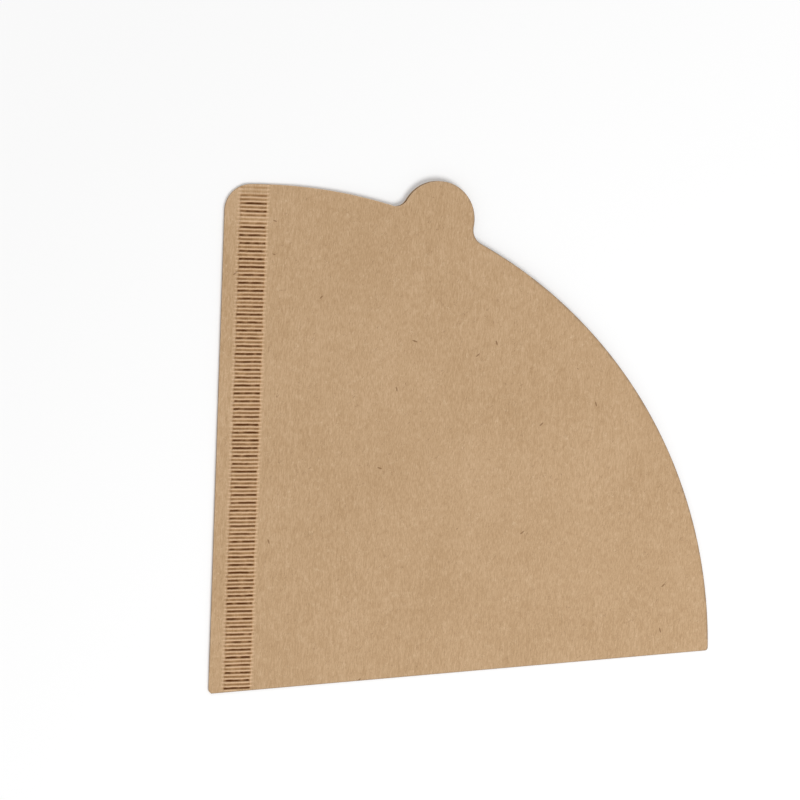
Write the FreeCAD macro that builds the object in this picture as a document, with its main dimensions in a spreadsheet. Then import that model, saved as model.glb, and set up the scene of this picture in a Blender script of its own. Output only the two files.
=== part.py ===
import FreeCAD, Part
import Sketcher
import math
import os

# A cone of filter paper, sold folded flat. One sheet is folded in two along the fold (the X axis),
# its two layers are crimped together along the seam, and the outline is cut out in one stroke.
# The cone's tip is where the fold meets the crimps' inner ends, and the sheet lies on the table at Z = 0.

doc = FreeCAD.newDocument("paper_coffee_filter")

# The driving sizes: millimetres, and degrees for the angles
size_rows = [
    ("slant_length", 118.0, "from the cone's tip to its cut mouth, along the paper"),
    ("seam_angle", 87.0, "between the fold and the seam: the flat shape of a cone of 58 degrees"),
    ("paper_thickness", 0.2, "one layer of the paper"),
    ("layer_gap", 0.1, "air between the layers where they lie flat on each other"),
    ("mouth_lift", 1.4, "how far the upper layer springs up at the middle of the mouth"),
    ("crimp_width", 6.3, "length of each crimp, across the seam"),
    ("crimp_pitch", 1.82, "one deep and one shallow crimp, along the seam"),
    ("crimp_lead", 1.38, "how far outside the fold the first pair of crimps would begin"),
    ("crimp_ridge", 0.34, "flat top of the ridge between two crimps"),
    ("crimp_flank", 0.18, "run of a crimp's sloping side"),
    ("deep_crimp", 0.4, "depth of a deep crimp"),
    ("shallow_crimp", 0.24, "depth of a shallow crimp"),
    ("pressed_edge", 0.4, "strip on each side of the crimps where the layers are pressed into one"),
    ("seam_margin", 3.55, "loose paper left outside the crimps"),
    ("seam_corner_radius", 6.2, "rounded corner where the seam meets the mouth"),
    ("tip_radius", 1.1, "rounded corner where the seam meets the fold"),
    ("fold_end_radius", 0.9, "rounded corner where the fold meets the mouth"),
    ("tab_angle", 66.5, "the tab's place on the mouth, up from the fold"),
    ("tab_radius", 8.95, "the tab's round outline"),
    ("tab_rise", 0.68, "how far the tab's centre lies outside the mouth's arc"),
    ("tab_root_radius_seam_side", 3.0, "soft inner corner beside the tab, towards the seam"),
    ("tab_root_radius_fold_side", 3.8, "soft inner corner beside the tab, towards the fold"),
    ("blank_allowance", 3.0, "paper beyond the mouth before it is cut"),
    ("die_clearance", 0.05, "how far the cutting line runs outside the fold"),
]
sizes = doc.addObject("Spreadsheet::Sheet", "sizes")
for row, (alias, value, meaning) in enumerate(size_rows, start=1):
    sizes.set("A" + str(row), alias)
    sizes.set("B" + str(row), str(value))
    sizes.set("C" + str(row), meaning)
    sizes.setAlias("B" + str(row), alias)
doc.recompute()

# Expressions that several features share
both_layers = "2 * sizes.paper_thickness"
flat_stack = "2 * sizes.paper_thickness + sizes.layer_gap"
seam_side = "sizes.crimp_width + sizes.seam_margin"
blank_width = "sizes.slant_length + sizes.blank_allowance"
seam_angle = "sizes.seam_angle * 1 deg"
half_turn = math.pi
quarter_turn = math.pi / 2

# How a sketch counts the ends and centre of a line or arc, its own origin and its own X axis
START, END, CENTRE = range(1, 4)
ORIGIN = (-1, 1)
X_AXIS = ORIGIN[0]

body = doc.addObject("PartDesign::Body", "filter_paper")
body.Label = "filter_paper"


def origin_datum(role):
    for feature in body.Origin.OriginFeatures:
        if feature.Role == role:
            return feature


def new_sketch(name, role):
    sketch = body.newObject("Sketcher::SketchObject", name)
    sketch.AttachmentSupport = [(origin_datum(role), "")]
    sketch.MapMode = "FlatFace"
    return sketch


def seam_sketch(name, place_on_fold):
    """An upright sketch along the seam, whose origin lies at a place on the fold."""
    sketch = new_sketch(name, "YZ_Plane")
    turned = FreeCAD.Rotation(FreeCAD.Vector(0, 1, 0), 1)
    sketch.AttachmentOffset = FreeCAD.Placement(FreeCAD.Vector(), turned)
    sketch.setExpression("AttachmentOffset.Rotation.Angle", "(sizes.seam_angle - 90) * 1 deg")
    sketch.setExpression("AttachmentOffset.Base.z", place_on_fold)
    return sketch


def across_seam(distance):
    """The place on the fold that lies this far from the cone's tip, measured square to the seam."""
    return "(" + distance + ") / sin(" + seam_angle + ")"


def relate(sketch, *constraint):
    sketch.addConstraint(Sketcher.Constraint(*constraint))


def dimension(sketch, name, expression, *constraint):
    """Adds a named dimension and ties it to the sheet."""
    index = sketch.addConstraint(Sketcher.Constraint(*constraint))
    sketch.renameConstraint(index, name)
    sketch.setExpression("Constraints." + name, expression)


def add_line(sketch, start, end):
    return sketch.addGeometry(Part.LineSegment(FreeCAD.Vector(*start), FreeCAD.Vector(*end)), False)


def add_arc(sketch, centre, radius, first_angle, last_angle):
    circle = Part.Circle(FreeCAD.Vector(*centre), FreeCAD.Vector(0, 0, 1), radius)
    return sketch.addGeometry(Part.ArcOfCircle(circle, first_angle, last_angle), False)


def along(centre, distance, angle):
    return (centre[0] + distance * math.cos(angle), centre[1] + distance * math.sin(angle))


def folded_section(name, place_on_fold, with_upper_layer):
    """The fold and its lower layer, seen along the fold, and the upper layer too where that lies flat."""
    paper = sizes.paper_thickness
    half_gap = sizes.layer_gap / 2
    bend = paper + half_gap
    width = sizes.slant_length + sizes.blank_allowance
    sketch = seam_sketch(name, place_on_fold)
    under = add_line(sketch, (bend, 0), (width, 0))
    lower_end = add_line(sketch, (width, 0), (width, paper))
    lower_inside = add_line(sketch, (width, paper), (bend, paper))
    inner_bend = add_arc(sketch, (bend, bend), half_gap, quarter_turn, 3 * quarter_turn)
    outer_bend = add_arc(sketch, (bend, bend), bend, quarter_turn, 3 * quarter_turn)
    corners = [(under, END, lower_end, START), (lower_end, END, lower_inside, START),
               (lower_inside, END, inner_bend, END), (outer_bend, END, under, START),
               (inner_bend, CENTRE, outer_bend, CENTRE)]
    if with_upper_layer:
        upper_inside = add_line(sketch, (bend, bend + half_gap), (width, bend + half_gap))
        upper_end = add_line(sketch, (width, bend + half_gap), (width, 2 * bend))
        top = add_line(sketch, (width, 2 * bend), (bend, 2 * bend))
        corners += [(inner_bend, START, upper_inside, START), (upper_inside, END, upper_end, START),
                    (upper_end, END, top, START), (top, END, outer_bend, START)]
        relate(sketch, "Horizontal", upper_inside)
        relate(sketch, "Horizontal", top)
        relate(sketch, "Vertical", lower_end, END, upper_end, START)
    else:
        upper_root = add_line(sketch, (bend, bend + half_gap), (bend, 2 * bend))
        corners += [(inner_bend, START, upper_root, START), (upper_root, END, outer_bend, START)]
    for corner in corners:
        relate(sketch, "Coincident", *corner)
    for bend_end in [(inner_bend, START), (inner_bend, END), (outer_bend, START), (outer_bend, END)]:
        relate(sketch, "Vertical", *bend_end, outer_bend, CENTRE)
    relate(sketch, "PointOnObject", under, START, X_AXIS)
    relate(sketch, "Horizontal", under)
    relate(sketch, "Horizontal", lower_inside)
    relate(sketch, "Vertical", lower_end)
    dimension(sketch, "bend_place", "sizes.paper_thickness + sizes.layer_gap / 2",
              "DistanceX", *ORIGIN, outer_bend, CENTRE, bend)
    dimension(sketch, "inner_bend_radius", "sizes.layer_gap / 2", "Radius", inner_bend, half_gap)
    dimension(sketch, "lower_layer", "sizes.paper_thickness",
              "DistanceY", lower_end, START, lower_end, END, paper)
    dimension(sketch, "blank_width", blank_width, "DistanceX", *ORIGIN, under, END, width)
    return sketch


def upper_layer_section(name, place_on_fold, lift):
    """The upper layer from the fold's bend to its open end, which rises by lift."""
    paper = sizes.paper_thickness
    bend = paper + sizes.layer_gap / 2
    width = sizes.slant_length + sizes.blank_allowance
    sketch = seam_sketch(name, place_on_fold)
    root = add_line(sketch, (bend, 2 * bend), (bend, 2 * bend - paper))
    inside = add_line(sketch, (bend, 2 * bend - paper), (width, 2 * bend - paper))
    end = add_line(sketch, (width, 2 * bend - paper), (width, 2 * bend))
    top = add_line(sketch, (width, 2 * bend), (bend, 2 * bend))
    for side, next_side in [(root, inside), (inside, end), (end, top), (top, root)]:
        relate(sketch, "Coincident", side, END, next_side, START)
    relate(sketch, "Vertical", root)
    relate(sketch, "Vertical", end)
    dimension(sketch, "bend_place", "sizes.paper_thickness + sizes.layer_gap / 2",
              "DistanceX", *ORIGIN, root, START, bend)
    dimension(sketch, "root_height", flat_stack, "DistanceY", *ORIGIN, root, START, 2 * bend)
    dimension(sketch, "paper_at_root", "sizes.paper_thickness", "DistanceY", root, END, root, START, paper)
    dimension(sketch, "paper_at_end", "sizes.paper_thickness", "DistanceY", end, START, end, END, paper)
    dimension(sketch, "blank_width", blank_width, "DistanceX", *ORIGIN, end, START, width)
    if lift:
        dimension(sketch, "lift", lift, "DistanceY", inside, START, inside, END, sizes.mouth_lift)
    else:
        relate(sketch, "Horizontal", inside)
    return sketch


def pressed_section(name, place_on_fold):
    """The same section where both layers are pressed into one."""
    bend = sizes.paper_thickness + sizes.layer_gap / 2
    width = sizes.slant_length + sizes.blank_allowance
    sketch = seam_sketch(name, place_on_fold)
    under = add_line(sketch, (bend, 0), (width, 0))
    end = add_line(sketch, (width, 0), (width, 2 * bend))
    top = add_line(sketch, (width, 2 * bend), (bend, 2 * bend))
    outer_bend = add_arc(sketch, (bend, bend), bend, quarter_turn, 3 * quarter_turn)
    relate(sketch, "Coincident", under, END, end, START)
    relate(sketch, "Coincident", end, END, top, START)
    relate(sketch, "Tangent", top, END, outer_bend, START)
    relate(sketch, "Tangent", outer_bend, END, under, START)
    relate(sketch, "PointOnObject", under, START, X_AXIS)
    relate(sketch, "Horizontal", under)
    relate(sketch, "Horizontal", top)
    relate(sketch, "Vertical", end)
    dimension(sketch, "bend_place", "sizes.paper_thickness + sizes.layer_gap / 2",
              "DistanceX", *ORIGIN, outer_bend, CENTRE, bend)
    dimension(sketch, "flat_stack", flat_stack, "DistanceY", end, START, end, END, 2 * bend)
    dimension(sketch, "blank_width", blank_width, "DistanceX", *ORIGIN, under, END, width)
    return sketch


def crimp_section(name, place_on_fold):
    """One deep and one shallow crimp, seen across the seam: both layers pressed into a wave."""
    ridge = sizes.crimp_ridge
    flank = sizes.crimp_flank
    valley = sizes.crimp_pitch / 2 - ridge - 2 * flank
    both = 2 * sizes.paper_thickness
    run_sizes = {"ridge": "sizes.crimp_ridge", "flank": "sizes.crimp_flank",
                 "valley": "sizes.crimp_pitch / 2 - sizes.crimp_ridge - 2 * sizes.crimp_flank"}
    steps = []
    for depth_size, depth in [("sizes.deep_crimp", sizes.deep_crimp),
                              ("sizes.shallow_crimp", sizes.shallow_crimp)]:
        steps.append(("ridge", ridge, 0, None))
        steps.append(("flank", flank, -depth, depth_size))
        steps.append(("valley", valley, 0, None))
        steps.append(("flank", flank, depth, depth_size))

    upper = [(-sizes.crimp_lead, sizes.deep_crimp + both)]
    for kind, run, rise, depth_size in steps:
        upper.append((upper[-1][0] + run, upper[-1][1] + rise))
    lower = [(place, height - both) for place, height in reversed(upper)]
    outline = upper + lower
    count = len(outline)

    sketch = seam_sketch(name, place_on_fold)
    for start, end in zip(outline, outline[1:] + outline[:1]):
        add_line(sketch, start, end)
    for index in range(count):
        relate(sketch, "Coincident", index, END, (index + 1) % count, START)
    for index, (kind, run, rise, depth_size) in enumerate(steps):
        dimension(sketch, kind + "_run_" + str(index), run_sizes[kind],
                  "DistanceX", index, START, index, END, run)
        if rise == 0:
            relate(sketch, "Horizontal", index)
        else:
            lower_end, upper_end = (START, END) if rise > 0 else (END, START)
            dimension(sketch, "flank_depth_" + str(index), depth_size,
                      "DistanceY", index, lower_end, index, upper_end, abs(rise))
    # each lower corner lies straight under its upper one, by the thickness of both layers
    for index in range(len(upper)):
        opposite = count - 1 - index
        relate(sketch, "Vertical", index, START, opposite, START)
        dimension(sketch, "both_layers_" + str(index), both_layers,
                  "DistanceY", opposite, START, index, START, both)
    dimension(sketch, "lead", "sizes.crimp_lead", "DistanceX", 0, START, *ORIGIN, sizes.crimp_lead)
    dimension(sketch, "ridge_height", "sizes.deep_crimp + " + both_layers,
              "DistanceY", *ORIGIN, 0, START, sizes.deep_crimp + both)
    return sketch


def tab_root(radius, side):
    """A soft corner that touches both the mouth's arc and the tab's from outside."""
    reach = sizes.slant_length + radius
    tab_reach = sizes.slant_length + sizes.tab_rise
    touch = sizes.tab_radius + radius
    opening = math.acos((reach ** 2 + tab_reach ** 2 - touch ** 2) / (2 * reach * tab_reach))
    angle = math.radians(sizes.tab_angle) + side * opening
    centre = along((0, 0), reach, angle)
    tab_centre = along((0, 0), tab_reach, math.radians(sizes.tab_angle))
    to_tab = math.atan2(tab_centre[1] - centre[1], tab_centre[0] - centre[0])
    return centre, angle, to_tab


def add_filter_outline(sketch):
    """The filter's outline from the fold round the mouth and its tab to the seam and back."""
    mouth = sizes.slant_length
    fold_end = sizes.fold_end_radius
    corner = sizes.seam_corner_radius
    tip = sizes.tip_radius
    margin_edge = sizes.crimp_width + sizes.seam_margin
    below = -sizes.die_clearance
    lean = math.radians(sizes.seam_angle)
    outward = lean + quarter_turn

    # the centres of the rounded corners, and where they begin and end
    fold_end_angle = math.asin((below + fold_end) / (mouth - fold_end))
    fold_end_centre = along((0, 0), mouth - fold_end, fold_end_angle)
    corner_angle = outward - math.acos((margin_edge - corner) / (mouth - corner))
    corner_centre = along((0, 0), mouth - corner, corner_angle)
    tip_up = below + tip
    tip_centre = ((tip - margin_edge + tip_up * math.cos(lean)) / math.sin(lean), tip_up)
    tab_centre = along((0, 0), mouth + sizes.tab_rise, math.radians(sizes.tab_angle))
    fold_root_radius = sizes.tab_root_radius_fold_side
    seam_root_radius = sizes.tab_root_radius_seam_side
    fold_root, fold_root_angle, fold_root_to_tab = tab_root(fold_root_radius, -1)
    seam_root, seam_root_angle, seam_root_to_tab = tab_root(seam_root_radius, 1)

    along_fold = add_line(sketch, (tip_centre[0], below), (fold_end_centre[0], below))
    fold_end_arc = add_arc(sketch, fold_end_centre, fold_end, -quarter_turn, fold_end_angle)
    lower_mouth = add_arc(sketch, (0, 0), mouth, fold_end_angle, fold_root_angle)
    fold_root_arc = add_arc(sketch, fold_root, fold_root_radius,
                            fold_root_to_tab, fold_root_angle + half_turn)
    tab = add_arc(sketch, tab_centre, sizes.tab_radius,
                  fold_root_to_tab + half_turn, seam_root_to_tab + half_turn)
    seam_root_arc = add_arc(sketch, seam_root, seam_root_radius,
                            seam_root_angle + half_turn, seam_root_to_tab)
    upper_mouth = add_arc(sketch, (0, 0), mouth, seam_root_angle, corner_angle)
    corner_arc = add_arc(sketch, corner_centre, corner, corner_angle, outward)
    along_seam = add_line(sketch, along(tip_centre, tip, outward), along(corner_centre, corner, outward))
    tip_arc = add_arc(sketch, tip_centre, tip, outward, 3 * quarter_turn)
    joints = [(along_fold, END, fold_end_arc, START), (fold_end_arc, END, lower_mouth, START),
              (lower_mouth, END, fold_root_arc, END), (fold_root_arc, START, tab, START),
              (tab, END, seam_root_arc, END), (seam_root_arc, START, upper_mouth, START),
              (upper_mouth, END, corner_arc, START), (corner_arc, END, along_seam, END),
              (along_seam, START, tip_arc, START), (tip_arc, END, along_fold, START)]
    for joint in joints:
        relate(sketch, "Tangent", *joint)
    relate(sketch, "Coincident", lower_mouth, CENTRE, *ORIGIN)
    relate(sketch, "Coincident", upper_mouth, CENTRE, *ORIGIN)
    relate(sketch, "Equal", lower_mouth, upper_mouth)
    relate(sketch, "Horizontal", along_fold)

    tab_reach = "(sizes.slant_length + sizes.tab_rise)"
    radii = [("mouth", "sizes.slant_length", lower_mouth, mouth),
             ("tab_round", "sizes.tab_radius", tab, sizes.tab_radius),
             ("fold_side_root", "sizes.tab_root_radius_fold_side", fold_root_arc, fold_root_radius),
             ("seam_side_root", "sizes.tab_root_radius_seam_side", seam_root_arc, seam_root_radius),
             ("fold_end", "sizes.fold_end_radius", fold_end_arc, fold_end),
             ("seam_corner", "sizes.seam_corner_radius", corner_arc, corner),
             ("tip", "sizes.tip_radius", tip_arc, tip)]
    for name, expression, arc, radius in radii:
        dimension(sketch, name, expression, "Radius", arc, radius)
    dimension(sketch, "tab_across", tab_reach + " * cos(sizes.tab_angle * 1 deg)",
              "DistanceX", *ORIGIN, tab, CENTRE, tab_centre[0])
    dimension(sketch, "tab_up", tab_reach + " * sin(sizes.tab_angle * 1 deg)",
              "DistanceY", *ORIGIN, tab, CENTRE, tab_centre[1])
    dimension(sketch, "seam_lean", seam_angle, "Angle", along_seam, lean)
    dimension(sketch, "seam_side", seam_side, "Distance", *ORIGIN, along_seam, margin_edge)
    dimension(sketch, "clear_of_fold", "sizes.die_clearance",
              "DistanceY", along_fold, START, *ORIGIN, -below)


def add_die_frame(sketch):
    """A frame outside the whole blank, also where the leaning seam takes it further."""
    spare = 2 * sizes.crimp_pitch
    near = sizes.crimp_width + sizes.seam_margin + spare
    lean = math.radians(sizes.seam_angle)
    far = (sizes.slant_length + sizes.blank_allowance) * (1 + math.cos(lean)) + spare
    corners = [(-near, -spare), (far, -spare), (far, far), (-near, far)]
    sides = []
    for start, end in zip(corners, corners[1:] + corners[:1]):
        sides.append(add_line(sketch, start, end))
    for index in range(len(sides)):
        relate(sketch, "Coincident", sides[index], END, sides[(index + 1) % len(sides)], START)
        relate(sketch, "Vertical" if index % 2 else "Horizontal", sides[index])
    beyond = "(" + blank_width + ") * (1 + cos(" + seam_angle + ")) + 2 * sizes.crimp_pitch"
    dimension(sketch, "frame_far", beyond, "DistanceX", *ORIGIN, sides[1], START, far)
    dimension(sketch, "frame_top", beyond, "DistanceY", *ORIGIN, sides[1], END, far)
    dimension(sketch, "frame_near", seam_side + " + 2 * sizes.crimp_pitch",
              "DistanceX", sides[3], END, *ORIGIN, near)
    dimension(sketch, "frame_under", "2 * sizes.crimp_pitch",
              "DistanceY", sides[3], END, *ORIGIN, spare)


def add_pad(name, profile, width, along_fold):
    """Pads a section by a width square to the seam, along the fold or straight across the seam."""
    pad = body.newObject("PartDesign::Pad", name)
    pad.Profile = profile
    if along_fold:
        pad.ReferenceAxis = (origin_datum("X_Axis"), [""])
    pad.AlongSketchNormal = True
    pad.setExpression("Length", width)
    return pad


# From the seam's cut edge towards the mouth: margin, pressed edge, crimps, pressed edge, cone
margin_place = across_seam("-sizes.crimp_width - sizes.seam_margin")
margin_section = folded_section("margin_section", margin_place, True)
add_pad("margin", margin_section, "sizes.seam_margin - sizes.pressed_edge", True)

outer_edge_place = across_seam("-sizes.crimp_width - sizes.pressed_edge")
outer_edge_section = pressed_section("outer_edge_section", outer_edge_place)
add_pad("outer_pressed_edge", outer_edge_section, "sizes.pressed_edge", True)

first_crimp_section = crimp_section("first_crimp_section", across_seam("-sizes.crimp_width"))
first_crimps = add_pad("first_crimps", first_crimp_section, "sizes.crimp_width", False)

inner_edge_section = pressed_section("inner_edge_section", "0")
add_pad("inner_pressed_edge", inner_edge_section, "sizes.pressed_edge", True)

# The cone's lower layer lies flat with the fold along it
cone_place = across_seam("sizes.pressed_edge")
lower_section = folded_section("lower_section", cone_place, False)
lower_width = "(" + blank_width + ") * sin(" + seam_angle + ") - sizes.pressed_edge"
add_pad("lower_layer_and_fold", lower_section, lower_width, True)

# The upper layer is ruled between both sections, so it rises from the fold and from the seam alike
lift_at_corner = ("4 * sizes.mouth_lift * cos(sizes.seam_angle / 2 * 1 deg) ^ 2"
                  " * (1 + sizes.blank_allowance / sizes.slant_length) ^ 2")
near_section = upper_layer_section("near_section", cone_place, None)
far_section = upper_layer_section("far_section", blank_width, lift_at_corner)
upper_layer = body.newObject("PartDesign::AdditiveLoft", "upper_layer")
upper_layer.Profile = near_section
upper_layer.Sections = [far_section]
upper_layer.Ruled = True
doc.recompute()

crimps = body.newObject("PartDesign::LinearPattern", "crimps")
crimps.Originals = [first_crimps]
crimps.Direction = (first_crimp_section, ["H_Axis"])
crimps.Mode = "Spacing"
crimps.setExpression("Offset", "sizes.crimp_pitch")
crimps.setExpression("Occurrences", "ceil((" + blank_width + " + sizes.crimp_lead) / sizes.crimp_pitch)")
body.Tip = crimps
doc.recompute()
blank_volume = body.Shape.Volume

cutting_die = new_sketch("cutting_die", "XY_Plane")
add_filter_outline(cutting_die)
add_die_frame(cutting_die)
cut = body.newObject("PartDesign::Pocket", "cut_to_outline")
cut.Profile = cutting_die
cut.Type = "ThroughAll"
cut.Reversed = True
body.Tip = cut

# The part's own origin is under the middle of its outline
body.setExpression("Placement.Base.x", "(" + across_seam(seam_side) + " - sizes.slant_length) / 2")
body.setExpression("Placement.Base.y", "-sizes.slant_length / 2")
doc.recompute()

for item in doc.Objects:
    if "Invalid" in item.State or "Error" in item.State:
        raise RuntimeError(item.Label + " did not build: " + str(item.State))
shape = body.Shape
if shape.isNull() or not shape.isValid() or len(shape.Solids) != 1:
    raise RuntimeError("the filter is not one valid solid")
if shape.Volume >= blank_volume:
    raise RuntimeError("the outline was not cut out of the blank")

os.makedirs("parts", exist_ok=True)
shape.exportStep("parts/" + body.Label + ".step")
box = shape.optimalBoundingBox()
print(body.Label, "volume", round(shape.Volume, 1), "mm3, cut from", round(blank_volume, 1), "mm3")
print("crimp pairs", crimps.Occurrences, "faces", len(shape.Faces))
print("size", round(box.XLength, 2), round(box.YLength, 2), round(box.ZLength, 2), "mm")
print("centre", round(box.Center.x, 3), round(box.Center.y, 3), "lowest", round(box.ZMin, 3))
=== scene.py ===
import math

import bpy
import bmesh
import numpy as np
from mathutils import Matrix, Vector, geometry


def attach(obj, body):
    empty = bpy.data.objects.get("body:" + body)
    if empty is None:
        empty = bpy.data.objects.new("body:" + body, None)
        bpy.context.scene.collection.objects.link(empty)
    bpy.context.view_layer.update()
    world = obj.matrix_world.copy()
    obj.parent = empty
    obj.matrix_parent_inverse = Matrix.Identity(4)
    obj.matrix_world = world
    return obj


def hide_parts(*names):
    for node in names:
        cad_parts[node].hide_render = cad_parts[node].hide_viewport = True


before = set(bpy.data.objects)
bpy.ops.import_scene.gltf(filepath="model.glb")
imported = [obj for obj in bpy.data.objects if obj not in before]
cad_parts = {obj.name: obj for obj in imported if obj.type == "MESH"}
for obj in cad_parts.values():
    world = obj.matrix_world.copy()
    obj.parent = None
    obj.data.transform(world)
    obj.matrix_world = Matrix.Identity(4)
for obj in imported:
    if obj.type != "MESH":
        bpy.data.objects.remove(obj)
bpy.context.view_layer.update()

mm = 0.001
quarterTurn = math.pi / 2

# the filter's own sizes, as it was cut and pressed, in millimetres and degrees
filterSizes = {
    "slantLength": 118.0,
    "seamAngle": 87.0,
    "paper": 0.2,
    "layerGap": 0.1,
    "mouthLift": 1.4,
    "crimpWidth": 6.3,
    "crimpPitch": 1.82,
    "deepCrimp": 0.4,
    "shallowCrimp": 0.24,
    "firstCrimp": 0.735,         # from the cone's tip, along the seam
    "pressedEdge": 0.4,
    "seamMargin": 3.55,
    "seamCorner": 6.2,
    "tipCorner": 1.1,
    "foldEndCorner": 0.9,
    "tabAngle": 66.5,
    "tabRadius": 8.95,
    "tabRise": 0.68,
    "tabRootSeamSide": 3.0,
    "tabRootFoldSide": 3.8,
    "dieClearance": 0.05,
}
# how finely the sheet is divided, in millimetres
sheetDetail = {
    "rowsPerCrimp": 6,
    "crimpColumns": [0.0, 0.2, 0.45, 0.95, 1.55, 2.15, 2.75, 3.35, 3.95, 4.55, 5.15,
                     5.65, 5.95, 6.15, 6.3],
    "puckerColumns": [0.2, 0.65, 0.9],            # outwards from both ends of the crimps
    "marginColumns": [(7.5, 0.3), (8.1, 0.5), (8.75, 0.6), (9.35, 0.6)],        # place and step
    "coneColumns": [(1.25, 0.3), (1.8, 0.45), (2.6, 0.7), (3.6, 1.0), (4.8, 1.2)],
    "coneStep": 1.3,
    "columnShare": 0.9,          # of the step, between two columns of the cone
    "edgeStep": 1.1,
    "fineEdgeStep": 0.22,
    "tabStep": 0.6,
    "tabRootStep": 0.4,
    "seamEdgePoints": 190,
    "fineReach": 2.5,            # how far past the crimps the edges are divided finely
    "beforeTip": 12,             # rows that start below the tip, and are cut off by the outline
    "pastMouth": 2.0,            # and how far rows and columns run on at the other side
    "pastCone": 8.0,
    "roomShare": 0.45,           # of the step, kept free beside the outline
    "closestOnEdge": 0.02,
    "closestOnPressed": 0.06,
    "bendSteps": 6,
    "innerBendSteps": 3,
    "cornerReach": 2.5,          # along the fold, where its ends follow the rounded corners
    "merge": 1e-5,               # how near places count as one, or as lying on a line
    "onEnd": 1e-6,
    "onFold": 1e-4,
    "onPressed": 1e-3,
    "smallestArea": 1e-9,
}

lean = math.radians(filterSizes["seamAngle"])
alongSeam = np.array([math.cos(lean), math.sin(lean)])
outOfSeam = np.array([-math.sin(lean), math.cos(lean)])
seamSide = filterSizes["crimpWidth"] + filterSizes["seamMargin"]
coneTip = Vector(((seamSide / math.sin(lean) - filterSizes["slantLength"]) / 2,
                  -filterSizes["slantLength"] / 2, 0.0)) * mm
bend = filterSizes["paper"] + filterSizes["layerGap"] / 2


# small helpers for objects and node trees
def addObject(name, data):
    thing = bpy.data.objects.new(name, data)
    bpy.context.scene.collection.objects.link(thing)
    return thing


def newFinish(name):
    material = bpy.data.materials.new(name)
    material.use_nodes = True
    material.node_tree.nodes.clear()
    return material, material.node_tree


def addNode(tree, kind, **settings):
    node = tree.nodes.new(kind)
    for name, value in settings.items():
        setattr(node, name, value)
    return node


def feed(tree, socket, value):
    if isinstance(value, bpy.types.NodeSocket):
        tree.links.new(value, socket)
    elif value is not None:
        socket.default_value = value


def calc(tree, operation, *values):
    node = addNode(tree, "ShaderNodeMath", operation=operation)
    for socket, value in zip(node.inputs, values):
        feed(tree, socket, value)
    return node.outputs[0]


def ease(tree, value, low, high, toLow=0.0, toHigh=1.0):
    node = addNode(tree, "ShaderNodeMapRange", interpolation_type="SMOOTHSTEP")
    names = ("Value", "From Min", "From Max", "To Min", "To Max")
    for name, given in zip(names, (value, low, high, toLow, toHigh)):
        feed(tree, node.inputs[name], given)
    return node.outputs[0]


def easeMm(tree, value, span, toLow=0.0, toHigh=1.0):
    return ease(tree, value, span[0] * mm, span[1] * mm, toLow, toHigh)


def times(tree, first, *others):
    for other in others:
        first = calc(tree, "MULTIPLY", first, other)
    return first


def plus(tree, first, *others):
    for other in others:
        first = calc(tree, "ADD", first, other)
    return first


def minus(tree, first, second):
    return calc(tree, "SUBTRACT", first, second)


def centred(tree, value, weight):
    return times(tree, minus(tree, value, 0.5), weight)


def point(tree, x=0.0, y=0.0, z=0.0):
    node = addNode(tree, "ShaderNodeCombineXYZ")
    for socket, value in zip(node.inputs, (x, y, z)):
        feed(tree, socket, value)
    return node.outputs[0]


def noise(tree, place, scale, detail=2.0, rough=0.5):
    node = addNode(tree, "ShaderNodeTexNoise")
    feed(tree, node.inputs["Vector"], place)
    node.inputs["Scale"].default_value = scale
    node.inputs["Detail"].default_value = detail
    node.inputs["Roughness"].default_value = rough
    return node.outputs[0]


def scaled(tree, place, waves, turn=0.0):
    # turned first and scaled after, so a long pattern lies in the turned direction
    node = addNode(tree, "ShaderNodeMapping", vector_type="TEXTURE")
    tree.links.new(place, node.inputs["Vector"])
    node.inputs["Rotation"].default_value = (0, 0, -turn)
    node.inputs["Scale"].default_value = tuple(1 / wave for wave in waves)
    return node.outputs[0]


def attribute(tree, name):
    return addNode(tree, "ShaderNodeAttribute", attribute_name=name).outputs["Fac"]


def mixColour(tree, share, first, second):
    node = addNode(tree, "ShaderNodeMix", data_type="RGBA")
    feed(tree, node.inputs["Factor"], share)
    feed(tree, node.inputs[6], first)
    feed(tree, node.inputs[7], second)
    return node.outputs[2]


def mixShader(tree, share, first, second):
    node = addNode(tree, "ShaderNodeMixShader")
    for socket, value in zip(node.inputs, (share, first, second)):
        tree.links.new(value, socket)
    return node.outputs[0]


# the flat layout of the sheet, in millimetres from the cone's tip
def polar(centre, radius, angle):
    return np.array([centre[0] + radius * math.cos(angle), centre[1] + radius * math.sin(angle)])


def arcPoints(centre, radius, first, last, step):
    count = max(2, int(abs(last - first) * radius / step) + 1)
    return [polar(centre, radius, angle) for angle in np.linspace(first, last, count + 1)]


def tabRoot(radius, side):
    reach = filterSizes["slantLength"] + radius
    tabReach = filterSizes["slantLength"] + filterSizes["tabRise"]
    touch = filterSizes["tabRadius"] + radius
    opening = math.acos((reach ** 2 + tabReach ** 2 - touch ** 2) / (2 * reach * tabReach))
    angle = math.radians(filterSizes["tabAngle"]) + side * opening
    centre = polar((0, 0), reach, angle)
    tabCentre = polar((0, 0), tabReach, math.radians(filterSizes["tabAngle"]))
    return centre, angle, math.atan2(tabCentre[1] - centre[1], tabCentre[0] - centre[0])


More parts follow.
